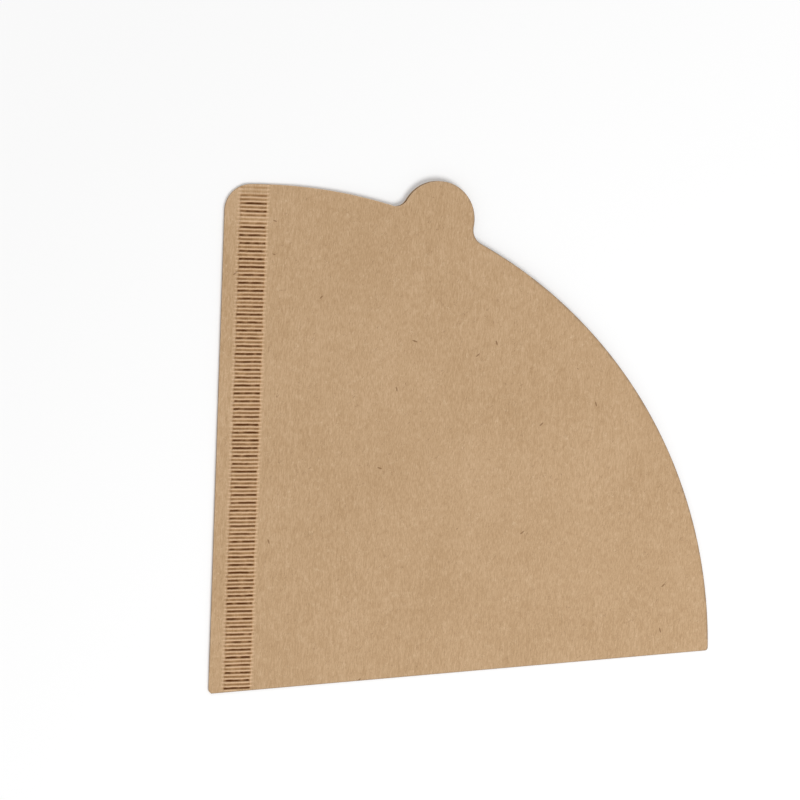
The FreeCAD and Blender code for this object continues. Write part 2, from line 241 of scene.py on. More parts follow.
def drawOutline():
    mouth = filterSizes["slantLength"]
    low = -filterSizes["dieClearance"]
    step = sheetDetail["edgeStep"]
    fine = sheetDetail["fineEdgeStep"]
    fineReach = sheetDetail["fineReach"]
    rootStep = sheetDetail["tabRootStep"]
    foldSide, seamSideRoot = filterSizes["tabRootFoldSide"], filterSizes["tabRootSeamSide"]
    outward = lean + quarterTurn

    endRadius = filterSizes["foldEndCorner"]
    endAngle = math.asin((low + endRadius) / (mouth - endRadius))
    endCentre = polar((0, 0), mouth - endRadius, endAngle)
    corner = filterSizes["seamCorner"]
    cornerAngle = outward - math.acos((seamSide - corner) / (mouth - corner))
    cornerCentre = polar((0, 0), mouth - corner, cornerAngle)
    tip = filterSizes["tipCorner"]
    tipUp = low + tip
    tipCentre = ((tip - seamSide + tipUp * math.cos(lean)) / math.sin(lean), tipUp)
    tabCentre = polar((0, 0), mouth + filterSizes["tabRise"], math.radians(filterSizes["tabAngle"]))
    foldRoot, foldRootAngle, foldRootToTab = tabRoot(foldSide, -1)
    seamRoot, seamRootAngle, seamRootToTab = tabRoot(seamSideRoot, 1)
    tabEnds = (foldRootToTab - math.pi, seamRootToTab + math.pi)
    nearCrimps = math.acos(-fineReach / mouth) - (quarterTurn - lean)

    bendAngle = math.asin((bend - endCentre[1]) / endRadius)
    line = arcPoints(endCentre, endRadius, bendAngle, endAngle, fine)
    line += arcPoints((0, 0), mouth, endAngle, foldRootAngle, step)
    line += arcPoints(foldRoot, foldSide, foldRootAngle + math.pi, foldRootToTab, fine)
    line += arcPoints(tabCentre, filterSizes["tabRadius"], *tabEnds, sheetDetail["tabStep"])
    line += arcPoints(seamRoot, seamSideRoot, seamRootToTab, seamRootAngle - math.pi, rootStep)
    line += arcPoints((0, 0), mouth, seamRootAngle, nearCrimps, step)
    line += arcPoints((0, 0), mouth, nearCrimps, cornerAngle, fine)
    line += arcPoints(cornerCentre, corner, cornerAngle, outward, fine)
    sideTop = polar(cornerCentre, corner, outward)
    sideEnd = polar(tipCentre, tip, outward)
    shares = np.linspace(0, 1, sheetDetail["seamEdgePoints"])
    line += [sideTop + (sideEnd - sideTop) * share for share in shares]
    tipEnd = math.pi + math.asin((tipCentre[1] - bend) / tip)
    line += arcPoints(tipCentre, tip, outward, tipEnd, fine)
    left, right = line[-1][0], line[0][0]
    line += [np.array([x, bend]) for x in np.arange(left + fine, fineReach, fine)]
    coarse = np.linspace(fineReach, right, int((right - fineReach) / step))
    line += [np.array([x, bend]) for x in coarse]
    kept = [line[0]]
    for place in line[1:]:
        if np.linalg.norm(place - kept[-1]) > sheetDetail["closestOnEdge"]:
            kept.append(place)
    if np.linalg.norm(kept[0] - kept[-1]) < sheetDetail["closestOnEdge"]:
        kept.pop()
    return np.array(kept)


def crossing(outline, out):
    # where a line beside the seam meets the outline: each edge's index and the place on it
    found = []
    side = outline @ outOfSeam - out
    for index in range(len(outline)):
        following = (index + 1) % len(outline)
        if side[index] * side[following] < 0:
            share = side[index] / (side[index] - side[following])
            found.append((index, outline[index] + (outline[following] - outline[index]) * share))
    return found


def distanceToOutline(points, outline):
    ends = np.roll(outline, -1, axis=0)
    nearest = np.full(len(points), 1e9)
    for start, end in zip(outline, ends):
        run = end - start
        share = np.clip(((points - start) @ run) / (run @ run), 0, 1)
        away = np.linalg.norm(points - start - share[:, None] * run, axis=1)
        nearest = np.minimum(nearest, away)
    return nearest


def insideOutline(points, outline):
    inside = np.zeros(len(points), bool)
    ends = np.roll(outline, -1, axis=0)
    for start, end in zip(outline, ends):
        crosses = (start[1] > points[:, 1]) != (end[1] > points[:, 1])
        with np.errstate(divide="ignore", invalid="ignore"):
            place = start[0] + (points[:, 1] - start[1]) * (end[0] - start[0]) / (end[1] - start[1])
        inside ^= crosses & (points[:, 0] < place)
    return inside


def columnPoints(out, step, shift=0.0):
    reach = filterSizes["slantLength"] + sheetDetail["pastMouth"]
    first = filterSizes["firstCrimp"] + shift * step - sheetDetail["beforeTip"] * step
    rows = np.arange(first, reach, step)
    return rows[:, None] * alongSeam + out * outOfSeam, step


def layOutSheet():
    outline = drawOutline()
    closest = sheetDetail["closestOnPressed"]
    pressed = [-filterSizes["pressedEdge"], filterSizes["crimpWidth"] + filterSizes["pressedEdge"]]
    # the outline gets a point where each pressed line meets it
    for out in pressed:
        for index, place in sorted(crossing(outline, out), key=lambda found: -found[0]):
            near = [i for i in (index, (index + 1) % len(outline))
                    if np.linalg.norm(outline[i] - place) < closest]
            if near:
                outline[near[0]] = place
            else:
                outline = np.insert(outline, index + 1, place, axis=0)
    fineStep = filterSizes["crimpPitch"] / 2 / sheetDetail["rowsPerCrimp"]
    width = filterSizes["crimpWidth"]
    columns = [columnPoints(out, fineStep) for out in sheetDetail["crimpColumns"]]
    for away in sheetDetail["puckerColumns"]:
        columns += [columnPoints(-away, fineStep), columnPoints(width + away, fineStep)]
    columns += [columnPoints(out, step) for out, step in sheetDetail["marginColumns"]]
    columns += [columnPoints(-away, step) for away, step in sheetDetail["coneColumns"]]
    step = sheetDetail["coneStep"]
    away = sheetDetail["coneColumns"][-1][0] + step
    turn = 0
    while away < filterSizes["slantLength"] + sheetDetail["pastCone"]:
        columns.append(columnPoints(-away, step, 0.5 * (turn % 2)))
        away += step * sheetDetail["columnShare"]
        turn += 1
    points, room = [], []
    for places, spacing in columns:
        points.append(places)
        spacing = min(spacing, sheetDetail["columnShare"])
        room.append(np.full(len(places), spacing * sheetDetail["roomShare"]))
    points, room = np.concatenate(points), np.concatenate(room)
    keep = insideOutline(points, outline)
    points, room = points[keep], room[keep]
    keep = distanceToOutline(points, outline) > room
    points = points[keep]

    # both pressed lines are edges of the layout, so a pocket between the layers can end on them
    flat = [tuple(place) for place in outline]
    edges = [(i, (i + 1) % len(flat)) for i in range(len(flat))]
    for out in pressed:
        ends = [i for i, place in enumerate(outline)
                if abs(place @ outOfSeam - out) < sheetDetail["onEnd"]]
        ends.sort(key=lambda i: outline[i] @ alongSeam)
        low, high = outline[ends[0]] @ alongSeam, outline[ends[-1]] @ alongSeam
        rows = columnPoints(out, fineStep)[0]
        rows = rows[((rows @ alongSeam) > low + closest) & ((rows @ alongSeam) < high - closest)]
        chain = [ends[0]] + list(range(len(flat), len(flat) + len(rows))) + [ends[-1]]
        flat += [tuple(place) for place in rows]
        edges += list(zip(chain[:-1], chain[1:]))
    flat += [tuple(place) for place in points]
    corners = [Vector(place) for place in flat]
    whole = [list(range(len(outline)))]
    result = geometry.delaunay_2d_cdt(corners, edges, whole, 1, sheetDetail["merge"])
    places, faces = np.array([tuple(v) for v in result[0]]), result[2]
    print("layout", len(places), "points", len(faces), "faces")
    return places, faces


# the closed sheet: outer skin round the fold, two pockets between the layers, cut edges
def buildSheet():
    places, faces = layOutSheet()
    out = places @ outOfSeam
    pressedIn = -filterSizes["pressedEdge"]
    pressedOut = filterSizes["crimpWidth"] + filterSizes["pressedEdge"]
    paper, gap = filterSizes["paper"], filterSizes["layerGap"]

    triangles = []
    for face in faces:
        for second, third in zip(face[1:-1], face[2:]):
            a, b, c = places[face[0]], places[second], places[third]
            area = (b[0] - a[0]) * (c[1] - a[1]) - (b[1] - a[1]) * (c[0] - a[0])
            if abs(area) > sheetDetail["smallestArea"]:
                triangles.append((face[0], second, third) if area > 0 else (face[0], third, second))
    # the layout's own boundary, as directed edges with the sheet on their left
    directed = set()
    for a, b, c in triangles:
        directed.update(((a, b), (b, c), (c, a)))
    boundary = {a: b for a, b in directed if (b, a) not in directed}
    onFold = np.abs(places[:, 1] - bend) < sheetDetail["onFold"]
    near = sheetDetail["onPressed"]
    onPressed = (np.abs(out - pressedIn) < near) | (np.abs(out - pressedOut) < near)
    middle = np.mean([[out[i] for i in tri] for tri in triangles], axis=1)
    inPocket = (middle < pressedIn) | (middle > pressedOut)

    verts, topShare, cutEdge = [], [], []

    def addVert(place, height, share, edge):
        verts.append((place[0], place[1], height))
        topShare.append(share)
        cutEdge.append(edge)
        return len(verts) - 1

    edgeFlag = np.zeros(len(places))
    for a in boundary:
        if not (onFold[a] and onFold[boundary[a]]):
            edgeFlag[a] = edgeFlag[boundary[a]] = 1
    used = sorted(set(i for tri in triangles for i in tri))
    pocketUsed = sorted(set(i for tri, pocket in zip(triangles, inPocket) if pocket for i in tri))
    top = {i: addVert(places[i], 2 * paper + gap, 1, edgeFlag[i]) for i in used}
    under = {i: addVert(places[i], 0, 0, edgeFlag[i]) for i in used}
    upperInside, lowerInside = {}, {}
    for i in pocketUsed:
        if onPressed[i]:
            upperInside[i] = lowerInside[i] = addVert(places[i], bend, 0.5, edgeFlag[i])
        else:
            upperInside[i] = addVert(places[i], paper + gap, 1, edgeFlag[i])
            lowerInside[i] = addVert(places[i], paper, 0, edgeFlag[i])

    polys, rims = [], []

    def addPoly(corners, rim=False):
        kept = [c for k, c in enumerate(corners) if c != corners[k - 1]]
        if len(set(kept)) == len(kept) and len(kept) > 2:
            (rims if rim else polys).append(kept)

    for tri, pocket in zip(triangles, inPocket):
        addPoly([top[i] for i in tri])
        addPoly([under[i] for i in reversed(tri)])
        if pocket:
            addPoly([upperInside[i] for i in reversed(tri)])
            addPoly([lowerInside[i] for i in tri])

    # the bend along the fold, outside and inside; its ends follow the rounded corners
    foldLine = sorted((i for i in boundary if onFold[i]), key=lambda i: places[i][0])
    left, right = places[foldLine[0]][0], places[foldLine[-1]][0]

    def cornerShift(x, y):
        def inset(radius, height):
            rise = radius - height - filterSizes["dieClearance"]
            return radius - math.sqrt(radius ** 2 - rise ** 2)

        moved = 0.0
        for end, name, sign in ((left, "tipCorner", 1), (right, "foldEndCorner", -1)):
            radius = filterSizes[name]
            share = max(0.0, 1 - abs(x - end) / sheetDetail["cornerReach"])
            moved += sign * (inset(radius, y) - inset(radius, bend)) * share * share
        return moved

    def bendRows(line, upper, lower, radius, steps):
        rows = [[upper[i] for i in line]]
        for k in range(1, steps):
            angle = quarterTurn + math.pi * k / steps
            row = []
            for i in line:
                if upper[i] == lower[i]:
                    row.append(upper[i])
                    continue
                y = bend + radius * math.cos(angle)
                x = places[i][0] + cornerShift(places[i][0], y)
                height, share = bend + radius * math.sin(angle), 0.5 + 0.5 * math.sin(angle)
                row.append(addVert((x, y), height, share, edgeFlag[i]))
            rows.append(row)
        rows.append([lower[i] for i in line])
        return rows

    outerRows = bendRows(foldLine, top, under, bend, sheetDetail["bendSteps"])
    for upperRow, lowerRow in zip(outerRows, outerRows[1:]):
        for k in range(len(foldLine) - 1):
            addPoly([upperRow[k], lowerRow[k], lowerRow[k + 1], upperRow[k + 1]])
    pocketLines = [[i for i in foldLine if out[i] < pressedIn + near],
                   [i for i in foldLine if out[i] > pressedOut - near]]
    innerColumns = {}
    for line in pocketLines:
        rows = bendRows(line, upperInside, lowerInside, gap / 2, sheetDetail["innerBendSteps"])
        for upperRow, lowerRow in zip(rows, rows[1:]):
            for k in range(len(line) - 1):
                addPoly([upperRow[k], upperRow[k + 1], lowerRow[k + 1], lowerRow[k]])
        for end in (0, -1):
            innerColumns[line[end]] = [row[end] for row in rows]

    # cut edges: each layer's own where they part, one across both where they are pressed together
    for a, b in boundary.items():
        if onFold[a] and onFold[b]:
            continue
        parted = all(i in upperInside for i in (a, b)) and not (onPressed[a] and onPressed[b])
        halfway = (out[a] + out[b]) / 2
        if parted and (halfway < pressedIn or halfway > pressedOut):
            addPoly([top[a], upperInside[a], upperInside[b], top[b]], True)
            addPoly([lowerInside[a], under[a], under[b], lowerInside[b]], True)
        else:
            corners = [top[a]]
            if a in upperInside and onPressed[a]:
                corners.append(upperInside[a])
            corners += [under[a], under[b]]
            if b in upperInside and onPressed[b]:
                corners.append(upperInside[b])
            corners.append(top[b])
            addPoly(corners, True)
    # both ends of the fold
    for end, flip in ((foldLine[0], False), (foldLine[-1], True)):
        column = 0 if end == foldLine[0] else -1
        outer = [row[column] for row in outerRows]
        inner = innerColumns[end]
        share = [round(k * (len(inner) - 1) / (len(outer) - 1)) for k in range(len(outer))]
        for k in range(len(outer) - 1):
            corners = [outer[k], inner[share[k]], inner[share[k + 1]], outer[k + 1]]
            addPoly(corners[::-1] if flip else corners, True)

    mesh = bpy.data.meshes.new("filterSheet")
    corners = [(x * mm + coneTip.x, y * mm + coneTip.y, z * mm) for x, y, z in verts]
    mesh.from_pydata(corners, [], polys + rims, shade_flat=False)
    for name, values in (("topShare", topShare), ("cutEdge", cutEdge)):
        layer = mesh.attributes.new(name, "FLOAT", "POINT")
        layer.data.foreach_set("value", np.array(values, np.float32))

    shell = bmesh.new()
    shell.from_mesh(mesh)
    bmesh.ops.recalc_face_normals(shell, faces=shell.faces)
    openEdges = sum(1 for edge in shell.edges if len(edge.link_faces) != 2)
    shell.faces.ensure_lookup_table()
    for edge in shell.edges:
        edge.smooth = len(set(face.index >= len(polys) for face in edge.link_faces)) == 1
    bmesh.ops.triangulate(shell, faces=[face for face in shell.faces if len(face.verts) > 4])
    volume = shell.calc_volume()
    if volume < 0:
        bmesh.ops.reverse_faces(shell, faces=shell.faces)
    shell.to_mesh(mesh)
    shell.free()
    print("sheet", len(mesh.vertices), "points", len(mesh.polygons), "faces")
    print("open edges", openEdges)
    print("sheet volume in cubic millimetres", volume / mm ** 3)
    return mesh


# geometry nodes press the crimps into the sheet and spring its upper layer up
pressing = {
    "Cone Tip": coneTip,
    "Seam Lean": quarterTurn - lean,
    "Slant Length": filterSizes["slantLength"] * mm,
    "First Crimp": filterSizes["firstCrimp"] * mm,
    "Crimp Pitch": filterSizes["crimpPitch"] * mm,
    "Crimp Width": filterSizes["crimpWidth"] * mm,
    "Deep Crimp": filterSizes["deepCrimp"] * mm,
    "Shallow Crimp": filterSizes["shallowCrimp"] * mm,
    "Paper": filterSizes["paper"] * mm,
    "Layer Gap": filterSizes["layerGap"] * mm,
    "Mouth Lift": filterSizes["mouthLift"] * mm,
    "Margin Lift": 0.16 * mm,
    "Cockle Height": 0.22 * mm,
    "Pucker Height": 0.07 * mm,
    "Ragged Ends": 0.13 * mm,
    "Faint Line": 120.0,         # counted from the tip
    "Seed": 4,
}
# how uneven the pressing is: spans from and to in millimetres, noises in waves a metre
uneven = {
    "wanderScale": 420.0,
    "wanderStretch": 0.6,
    "wander": 0.16,                  # share of half a pitch
    "ownDepth": (0.8, 1.0),          # of each line, as a share of its full depth
    "faintDepth": 0.25,
    "patchScale": 620.0,             # parts of a line are pressed less
    "patchStep": 3.7,
    "patchNoise": (0.3, 0.56),
    "patchDepth": (0.55, 1.0),
    "valleyShare": (0.05, 0.42),     # from a line's middle, as a share of half a pitch
    "ridgeShare": (0.26, 0.45),
    "endSpan": (-0.2, 0.2),          # how softly a line ends
    "shallowFurther": 0.1,
    "foldSpan": (0.2, 0.6),
    "mouthSpan": (1.2, 4.2),
    "mouthDepth": 0.25,
    "puckerStart": (-0.4, 0.1),
    "puckerEnd": (0.1, 1.0),
    "puckerFoldSpan": (0.3, 0.8),
    "liftStart": 0.4,                # inwards from the seam
    "cockleScale": (34.0, 22.0),     # across and along the seam
    "cockleMiddle": 0.42,
    "cockleSeamSpan": (1.5, 14),
    "cockleFoldSpan": (1.0, 12),
    "marginStart": 0.5,
    "marginReach": 3.2,
    "marginRipple": 160.0,
    "marginFoldSpan": (1.0, 8.0),
    "marginLoose": 1.6,              # the upper layer's margin opens more than the lower one's
}


def makePressingTree():
    tree = bpy.data.node_groups.new("pressFilter", "GeometryNodeTree")
    tree.interface.new_socket("Geometry", in_out="INPUT", socket_type="NodeSocketGeometry")
    kinds = {Vector: "NodeSocketVector", int: "NodeSocketInt", float: "NodeSocketFloat"}
    for name, value in pressing.items():
        tree.interface.new_socket(name, in_out="INPUT", socket_type=kinds[type(value)])
    tree.interface.new_socket("Finish", in_out="INPUT", socket_type="NodeSocketMaterial")
    tree.interface.new_socket("Geometry", in_out="OUTPUT", socket_type="NodeSocketGeometry")
    given = addNode(tree, "NodeGroupInput").outputs

    # place along the seam and out from it
    fromTip = addNode(tree, "ShaderNodeVectorMath", operation="SUBTRACT")
    tree.links.new(addNode(tree, "GeometryNodeInputPosition").outputs[0], fromTip.inputs[0])
    tree.links.new(given["Cone Tip"], fromTip.inputs[1])
    turned = addNode(tree, "ShaderNodeVectorRotate", rotation_type="Z_AXIS")
    tree.links.new(fromTip.outputs[0], turned.inputs["Vector"])
    tree.links.new(given["Seam Lean"], turned.inputs["Angle"])
    placed = addNode(tree, "ShaderNodeSeparateXYZ")
    tree.links.new(turned.outputs[0], placed.inputs[0])
    along = placed.outputs["Y"]
    inward = placed.outputs["X"]
    out = times(tree, inward, -1.0)
    sheet = addNode(tree, "ShaderNodeSeparateXYZ")
    tree.links.new(fromTip.outputs[0], sheet.inputs[0])
    overFold = sheet.outputs["Y"]
    named = addNode(tree, "GeometryNodeInputNamedAttribute", data_type="FLOAT")
    named.inputs["Name"].default_value = "topShare"
    topShare = named.outputs["Attribute"]

    # one line every half pitch, deep and shallow in turn, each a little off its place and depth
    half = times(tree, given["Crimp Pitch"], 0.5)
    wanderPlace = point(tree, inward, times(tree, along, uneven["wanderStretch"]))
    wander = centred(tree, noise(tree, wanderPlace, uneven["wanderScale"]), uneven["wander"])
    counted = calc(tree, "DIVIDE", minus(tree, along, given["First Crimp"]), half)
    counted = plus(tree, counted, wander, 0.5)
    number = calc(tree, "FLOOR", counted)
    phase = calc(tree, "FRACT", counted)
    shallow = calc(tree, "FLOORED_MODULO", number, 2.0)
    toWhole = addNode(tree, "FunctionNodeFloatToInt", rounding_mode="FLOOR")
    tree.links.new(number, toWhole.inputs[0])

    def ownRandom(low, high, seedShift):
        own = addNode(tree, "FunctionNodeRandomValue", data_type="FLOAT")
        own.inputs[2].default_value = low
        own.inputs[3].default_value = high
        tree.links.new(toWhole.outputs[0], own.inputs["ID"])
        tree.links.new(plus(tree, given["Seed"], seedShift), own.inputs["Seed"])
        return own.outputs[1]

    # lines are pressed nearly to their full depth, but one is left faint
    fromFaint = calc(tree, "ABSOLUTE", minus(tree, number, given["Faint Line"]))
    faint = ease(tree, fromFaint, 0.0, 1.0, uneven["faintDepth"], 1.0)
    ownDepth = times(tree, ownRandom(*uneven["ownDepth"], 0), faint)
    patchPlace = point(tree, times(tree, inward, uneven["patchScale"]),
                       times(tree, number, uneven["patchStep"]))
    patches = noise(tree, patchPlace, 1.0, 1.0)
    patches = ease(tree, patches, *uneven["patchNoise"], *uneven["patchDepth"])
    strength = times(tree, ownDepth, patches)
    depth = plus(tree, times(tree, given["Deep Crimp"], minus(tree, 1.0, shallow)),
                 times(tree, given["Shallow Crimp"], shallow))
    depth = times(tree, depth, strength)
    fromValley = calc(tree, "ABSOLUTE", minus(tree, phase, 0.5))
    valley = minus(tree, 1.0, ease(tree, fromValley, *uneven["valleyShare"]))

    # the crimps end softly at both sides, each at its own place, shallow ones a little further out
    outEnd = minus(tree, given["Crimp Width"], out)
    further = times(tree, minus(tree, shallow, 0.5), uneven["shallowFurther"] * mm)
    endWindows = []
    for end, seedShift in ((out, 3), (outEnd, 8)):
        ragged = times(tree, given["Ragged Ends"], ownRandom(-1.0, 1.0, seedShift))
        endWindows.append(easeMm(tree, plus(tree, end, ragged, further), uneven["endSpan"]))
    # and so they do at the fold and below the mouth
    window = times(tree, *endWindows, easeMm(tree, overFold, uneven["foldSpan"]))
    underMouth = minus(tree, given["Slant Length"], along)
    topFade = easeMm(tree, underMouth, uneven["mouthSpan"], uneven["mouthDepth"], 1.0)
    window = times(tree, window, topFade)
    both = times(tree, given["Paper"], 2.0)
    wave = minus(tree, plus(tree, given["Deep Crimp"], both), times(tree, depth, valley))
    flat = plus(tree, both, times(tree, given["Layer Gap"], topShare))
    crimpRise = times(tree, minus(tree, wave, flat), window)

    # small puckers run on from the ridges past both ends of the crimps
    past = calc(tree, "MAXIMUM", times(tree, out, -1.0), times(tree, outEnd, -1.0))
    puckerReach = times(tree, easeMm(tree, past, uneven["puckerStart"]),
                        easeMm(tree, past, uneven["puckerEnd"], 1.0, 0.0),
                        easeMm(tree, overFold, uneven["puckerFoldSpan"]))
    ridge = ease(tree, fromValley, *uneven["ridgeShare"])
    pucker = times(tree, ridge, puckerReach, given["Pucker Height"], ownDepth, topShare)

    # the upper layer rises from the fold and the seam towards the mouth, most in its middle
    coneAngle = minus(tree, quarterTurn, given["Seam Lean"])
    leanSine = calc(tree, "SINE", coneAngle)
    pastSeam = calc(tree, "MAXIMUM", minus(tree, inward, uneven["liftStart"] * mm), 0.0)
    fromSeam = calc(tree, "DIVIDE", pastSeam, leanSine)
    fromFold = calc(tree, "DIVIDE", calc(tree, "MAXIMUM", overFold, 0.0), leanSine)
    halfAngle = calc(tree, "COSINE", times(tree, coneAngle, 0.5))
    lift = times(tree, fromSeam, fromFold, 4.0, given["Mouth Lift"],
                 times(tree, halfAngle, halfAngle))
    lift = calc(tree, "DIVIDE", lift, times(tree, given["Slant Length"], given["Slant Length"]))
    # where it is free it is slightly cockled
    free = times(tree, easeMm(tree, fromSeam, uneven["cockleSeamSpan"]),
                 easeMm(tree, overFold, uneven["cockleFoldSpan"]))
    inScale, alongScale = uneven["cockleScale"]
    cocklePlace = point(tree, times(tree, inward, inScale), times(tree, along, alongScale))
    broad = minus(tree, noise(tree, cocklePlace, 1.0, 1.5), uneven["cockleMiddle"])
    cockle = times(tree, broad, given["Cockle Height"], 2.0, free)

    # the loose margin outside the crimps opens a little at its cut edge
    inMargin = minus(tree, times(tree, outEnd, -1.0), uneven["marginStart"] * mm)
    inMargin = calc(tree, "MAXIMUM", inMargin, 0.0)
    openness = times(tree, inMargin, 1 / (uneven["marginReach"] * mm))
    openness = times(tree, openness, openness)
    ripple = noise(tree, point(tree, times(tree, along, uneven["marginRipple"])), 1.0, 2.0)
    marginRise = times(tree, openness, ripple, given["Margin Lift"],
                       easeMm(tree, overFold, uneven["marginFoldSpan"]))

    upperOnly = plus(tree, lift, cockle, times(tree, marginRise, uneven["marginLoose"]))
    rise = plus(tree, crimpRise, pucker, times(tree, upperOnly, topShare))

    moved = addNode(tree, "GeometryNodeSetPosition")
    tree.links.new(given["Geometry"], moved.inputs["Geometry"])
    tree.links.new(point(tree, 0.0, 0.0, rise), moved.inputs["Offset"])
    # kept for the finish: how deep a point lies in a crimp, and how high on a ridge
    depthShare = times(tree, depth, 1 / (filterSizes["deepCrimp"] * mm))
    inValley = times(tree, times(tree, valley, window), depthShare)
    onRidge = times(tree, ridge, calc(tree, "MAXIMUM", window, puckerReach))
    last = moved.outputs[0]
    for name, value in (("valley", inValley), ("ridge", onRidge), ("outOfSeam", out)):
        store = addNode(tree, "GeometryNodeStoreNamedAttribute", data_type="FLOAT",
                        domain="POINT")
        store.inputs["Name"].default_value = name
        tree.links.new(last, store.inputs["Geometry"])
        tree.links.new(value, store.inputs["Value"])
        last = store.outputs[0]
    real = addNode(tree, "GeometryNodeRealizeInstances")
    tree.links.new(last, real.inputs[0])
    dress = addNode(tree, "GeometryNodeSetMaterial")
    tree.links.new(real.outputs[0], dress.inputs["Geometry"])
    tree.links.new(given["Finish"], dress.inputs["Material"])
    result = addNode(tree, "NodeGroupOutput")
    tree.links.new(dress.outputs[0], result.inputs[0])
    return tree


def setInputs(modifier, values):
    for item in modifier.node_group.interface.items_tree:
        if item.item_type == "SOCKET" and item.in_out == "INPUT" and item.name in values:
            modifier[item.identifier] = values[item.name]


def bakeNodes(source, name):
    depsgraph = bpy.context.evaluated_depsgraph_get()
    pressed = source.evaluated_get(depsgraph)
    mesh = bpy.data.meshes.new_from_object(pressed, depsgraph=depsgraph)
    mesh.name = name
    source.modifiers.clear()
    piece = addObject(name, mesh)
    bpy.data.objects.remove(source)
    return piece


# the look of the paper: its colours, and how far each of them shows
paperLook = {
    "dark": (0.452, 0.289, 0.154, 1),
    "plain": (0.530, 0.351, 0.200, 1),
    "light": (0.612, 0.424, 0.260, 1),
    "toneSpan": (0.12, 0.88),
    # the creases: painted shade in the grooves over the pressed paper's darker tone, with warmer
    # flanks beside them
    "creaseShade": (0.085, 0.020, 0.000, 1),
    "creaseShare": 0.97,
    "creaseGain": 1.15,
    "creaseFlank": (0.580, 0.290, 0.080, 1),
    "flankShare": 0.34,
    "flankSpan": (0.0, 0.3),
    # painted highlight on the crimp ridges and puckers
    "ridgePaintedHighlight": (0.890, 0.620, 0.405, 1),
    "ridgeShare": 0.7,
    # the cut edges: lighter fibres with a painted highlight near the seam, a painted line of shade
    # along the mouth, and painted shade round the fold
    "cutFibresAndHighlight": (0.640, 0.460, 0.300, 1),
    "seamEdgeShare": 0.5,
    "seamEdgeSpan": (-52, -36),      # outwards from the seam, in millimetres
    "cutShade": (0.150, 0.105, 0.070, 1),
    "mouthEdgeShare": 0.75,
    "edgePower": 4.5,
    "foldShare": 0.6,
    "foldSpan": (0.0, 0.15),
    "barkSpeck": (0.215, 0.115, 0.050, 1),
    "straw": (0.700, 0.520, 0.340, 1),
    "roughness": 0.88,
    "toothRoughness": 0.16,
    "specular": 0.1,
    "bumpStrength": 0.5,
    "bumpHeight": 0.05,              # in millimetres
    # the grain runs with the seam: waves a metre across, along and through it, detail, roughness,
    # and how strongly it changes the tone
    "grain": {
        "streaks": ((4100, 640, 900), 2.0, 0.6, 0.58),
        "longStreaks": ((1500, 110, 500), 2.0, 0.5, 0.2),
        "clouds": ((420, 300, 300), 3.0, 0.55, 0.34),
        "broad": ((42, 34, 40), 2.0, 0.5, 0.42),
        "tooth": ((6400, 2200, 4000), 1.0, 0.5, 0.7),
    },
    "relief": {"streaks": 0.6, "tooth": 0.4, "clouds": 0.35},
    # crisp short strokes where fibres lie on top: where each starts and is full, and its tone
    "strokeWaves": (5400, 760, 1000),
    "strokeTurn": 0.04,
    "strokes": [(0.56, 0.61, 0.2), (0.44, 0.39, -0.2)],
    # short straw-coloured and dark fibres, thin contours of a noise that another cuts into pieces:
    # colour, waves, turn and width of the contours, then waves, turn and span of the pieces
    "fibreShare": 0.42,
    "fibres": [
        ("straw", (1300, 620, 700), 0.0, 0.014, (700, 500, 400), 1.1, (0.56, 0.64)),
        ("barkSpeck", (1930, 620, 700), 7.0, 0.010, (700, 710, 400), 8.1, (0.60, 0.68)),
    ],
    # few bark specks, slivers that lie in three directions: turn, waves and largest size
    "speckShare": 0.7,
    "speckChosenOver": 0.92,
    "speckSmallest": 0.4,            # share of the largest
    "specks": [
        (0.9, (170, 52, 100), 0.034),
        (-0.3, (150, 46, 100), 0.031),
        (-1.2, (130, 40, 100), 0.027),
    ],
}


